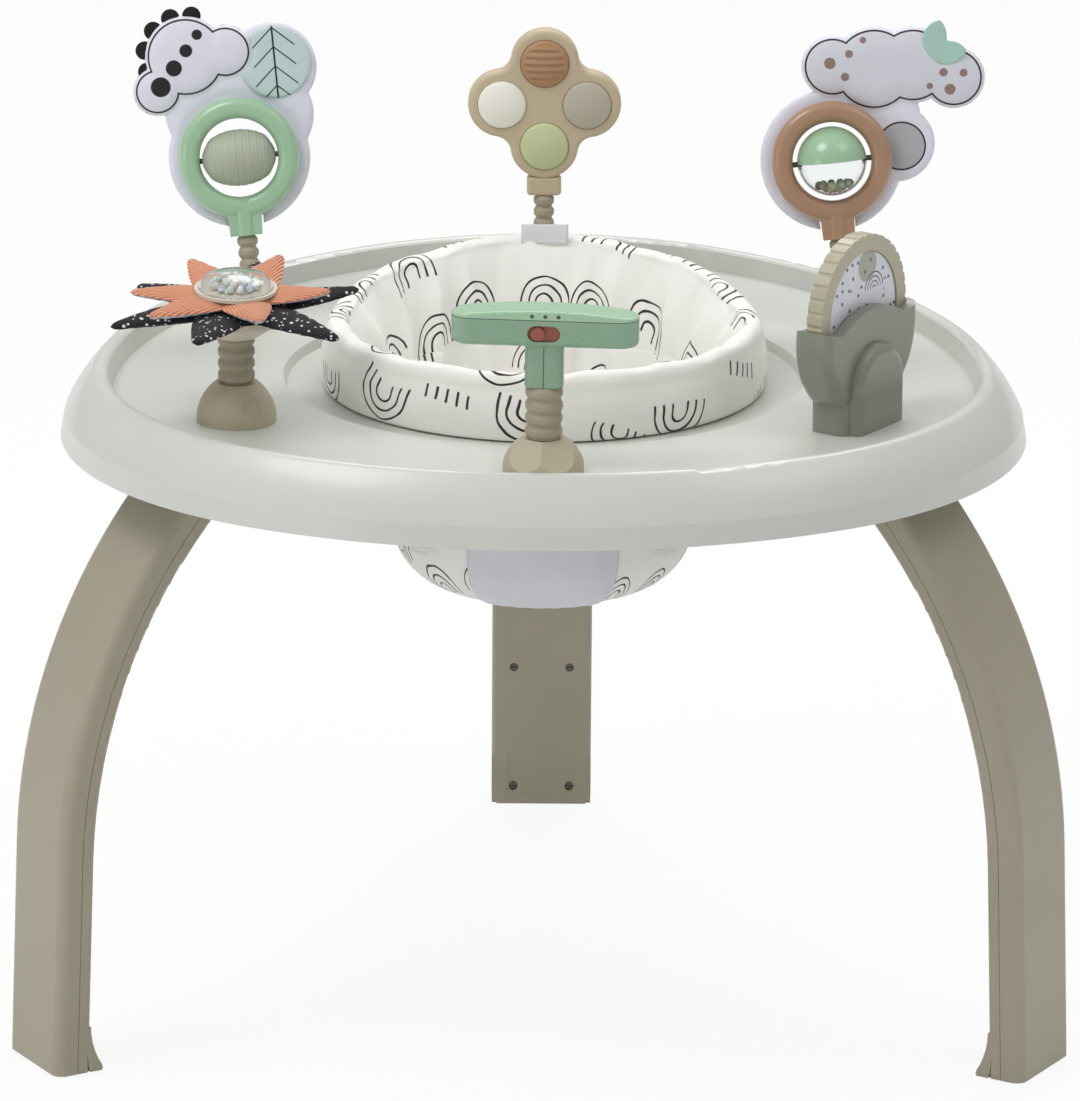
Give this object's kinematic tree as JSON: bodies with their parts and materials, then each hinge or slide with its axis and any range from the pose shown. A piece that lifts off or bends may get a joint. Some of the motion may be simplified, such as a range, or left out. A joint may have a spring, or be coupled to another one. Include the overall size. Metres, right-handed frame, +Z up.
{
  "type": "baby activity center",
  "caption": "Standing play tray on splayed legs with a turning fabric seat in its middle and bendable toy stations, spinners, a music box and push domes around the rim.",
  "frame": {"origin": "on the floor under the middle of the whole object", "axes": "+Z up, -Y towards the music box at the front, +Y towards the back leg, +X to the right of someone who faces the front"},
  "size_m": [0.8268, 0.8229, 0.7452],
  "materials": {
    "tray_plastic": "smooth off-white moulding",
    "leg_plastic": "satin taupe",
    "inner_plastic": "plain grey moulding",
    "pad_rubber": "dark grip rubber",
    "screw_steel": "zinc plated",
    "seat_fabric": "padded print fabric, white with dark lines",
    "seat_lining": "lilac-grey lining",
    "tag_fabric": "woven tape, plain",
    "stem_plastic": "satin beige",
    "mint_plastic": "mint green",
    "brown_plastic": "warm brown",
    "switch_plastic": "brick red-brown",
    "clover_plastic": "beige",
    "grey_green_plastic": "grey-green",
    "housing_plastic": "grey-olive satin",
    "disc_plastic": "light beige",
    "picture_card": "printed card under clear film",
    "clear_plastic": "clear dome",
    "bead_plastic": "small mixed beads",
    "orange_cloth": "ribbed orange cloth",
    "black_cloth": "black cloth with white flecks",
    "plush_cloth": "soft lilac-white cloth",
    "mint_cloth": "mint cloth",
    "popper_brown": "brown silicone-like",
    "popper_white": "off-white silicone-like",
    "popper_taupe": "taupe silicone-like",
    "popper_green": "light green silicone-like",
    "axle_steel": "plain pin",
    "board": "circuit board"
  },
  "bodies": {
    "frame": {"tray_top": "tray_plastic", "leg_back": "leg_plastic", "leg_left": "leg_plastic", "leg_right": "leg_plastic", "leg_covers": "leg_plastic", "leg_sockets": "inner_plastic", "foot_pads": "pad_rubber", "frame_screws": "screw_steel", "music_base": "stem_plastic", "music_stem": "stem_plastic", "flower_base": "stem_plastic", "flower_stem": "stem_plastic", "thin_stem_bases": "stem_plastic", "left_ring_stem": "stem_plastic", "right_ring_stem": "stem_plastic", "clover_stem": "stem_plastic", "wheel_housing_front": "housing_plastic", "wheel_housing_rear": "housing_plastic"},
    "seat": {"seat_ring": "inner_plastic", "seat_clamp_ring": "inner_plastic", "seat_cuff": "seat_fabric", "seat_bucket": "seat_fabric", "crotch_panel": "seat_lining", "seat_tag": "tag_fabric"},
    "music_head": {"music_case_lower": "mint_plastic", "music_case_upper": "mint_plastic", "music_face": "picture_card", "music_sound_unit": "board", "battery_door": "mint_plastic"},
    "music_slider": {"music_switch": "switch_plastic"},
    "button_left": {"music_button_left": "brown_plastic"},
    "button_right": {"music_button_right": "popper_white"},
    "flower_head": {"flower_hub": "popper_white", "flower_dome": "clear_plastic", "flower_beads": "bead_plastic", "petals_orange": "orange_cloth", "petals_black": "black_cloth"},
    "left_ring_head": {"left_ring_front": "mint_plastic", "left_ring_rear": "mint_plastic", "spinner_axle": "axle_steel", "left_plush": "plush_cloth", "left_leaf": "mint_cloth", "left_tabs": "black_cloth"},
    "spinner_barrel": {"spinner": "grey_green_plastic"},
    "right_ring_head": {"right_ring_front": "brown_plastic", "right_ring_rear": "brown_plastic", "ball_pins": "axle_steel", "right_plush": "plush_cloth", "right_leaf": "mint_cloth"},
    "ball": {"ball_top": "mint_plastic", "ball_bottom": "clear_plastic", "ball_beads": "bead_plastic"},
    "clover_head": {"clover_front": "clover_plastic", "clover_rear": "clover_plastic"},
    "popper_r": {"popper_right": "popper_taupe"},
    "popper_t": {"popper_top": "popper_brown"},
    "popper_l": {"popper_left": "popper_white"},
    "popper_b": {"popper_bottom": "popper_green"},
    "wheel": {"wheel_disc": "disc_plastic", "wheel_pictures": "picture_card"}
  },
  "joints": [
    {"name": "seat_turn", "type": "hinge", "parent": "frame", "child": "seat", "pos_m": [0, -0.04548, 0.498], "axis": [0, 0, 1], "continuous": true},
    {"name": "music_bend", "type": "hinge", "parent": "frame", "child": "music_head", "pos_m": [0, -0.31448, 0.545], "axis": [1, 0, 0], "range_deg": [-12, 12], "stiffness_Nm_per_rad": 2, "deforming": ["music_stem"]},
    {"name": "flower_bend", "type": "hinge", "parent": "frame", "child": "flower_head", "pos_m": [-0.2378, -0.18438, 0.54875], "axis": [1, 0, 0], "range_deg": [-12, 12], "stiffness_Nm_per_rad": 2, "deforming": ["flower_stem"]},
    {"name": "left_ring_bend", "type": "hinge", "parent": "frame", "child": "left_ring_head", "pos_m": [-0.23644, 0.1005, 0.54563], "axis": [1, 0, 0], "range_deg": [-12, 12], "stiffness_Nm_per_rad": 2, "deforming": ["left_ring_stem"]},
    {"name": "right_ring_bend", "type": "hinge", "parent": "frame", "child": "right_ring_head", "pos_m": [0.23866, 0.1015, 0.54563], "axis": [1, 0, 0], "range_deg": [-12, 12], "stiffness_Nm_per_rad": 2, "deforming": ["right_ring_stem"]},
    {"name": "clover_bend", "type": "hinge", "parent": "frame", "child": "clover_head", "pos_m": [-0.0009, 0.20652, 0.54875], "axis": [1, 0, 0], "range_deg": [-12, 12], "stiffness_Nm_per_rad": 2, "deforming": ["clover_stem"]},
    {"name": "spinner_turn", "type": "hinge", "parent": "left_ring_head", "child": "spinner_barrel", "pos_m": [-0.24544, 0.11683, 0.62963], "axis": [0.9945, 0.0199, 0.1026], "continuous": true},
    {"name": "ball_turn", "type": "hinge", "parent": "right_ring_head", "child": "ball", "pos_m": [0.22966, 0.11783, 0.62963], "axis": [0.9945, 0.0199, 0.1026], "continuous": true},
    {"name": "wheel_turn", "type": "hinge", "parent": "frame", "child": "wheel", "pos_m": [0.241, -0.17948, 0.588], "axis": [-0.829, 0.5592, 0], "continuous": true},
    {"name": "switch_slide", "type": "slide", "parent": "music_head", "child": "music_slider", "axis": [0.9975, -0.0698, -0.0087], "range_m": [0, 0.008]},
    {"name": "button_left_press", "type": "slide", "parent": "music_head", "child": "button_left", "axis": [-0.0698, -0.9976, 0], "range_m": [0, 0.002], "stiffness_N_per_m": 400},
    {"name": "button_right_press", "type": "slide", "parent": "music_head", "child": "button_right", "axis": [-0.0698, -0.9976, 0], "range_m": [0, 0.002], "stiffness_N_per_m": 400},
    {"name": "popper_r_push", "type": "slide", "parent": "clover_head", "child": "popper_r", "axis": [0, 1, 0], "range_m": [0, 0.006], "stiffness_N_per_m": 300},
    {"name": "popper_t_push", "type": "slide", "parent": "clover_head", "child": "popper_t", "axis": [0, 1, 0], "range_m": [0, 0.006], "stiffness_N_per_m": 300},
    {"name": "popper_l_push", "type": "slide", "parent": "clover_head", "child": "popper_l", "axis": [0, 1, 0], "range_m": [0, 0.006], "stiffness_N_per_m": 300},
    {"name": "popper_b_push", "type": "slide", "parent": "clover_head", "child": "popper_b", "axis": [0, 1, 0], "range_m": [0, 0.006], "stiffness_N_per_m": 300}
  ]
}
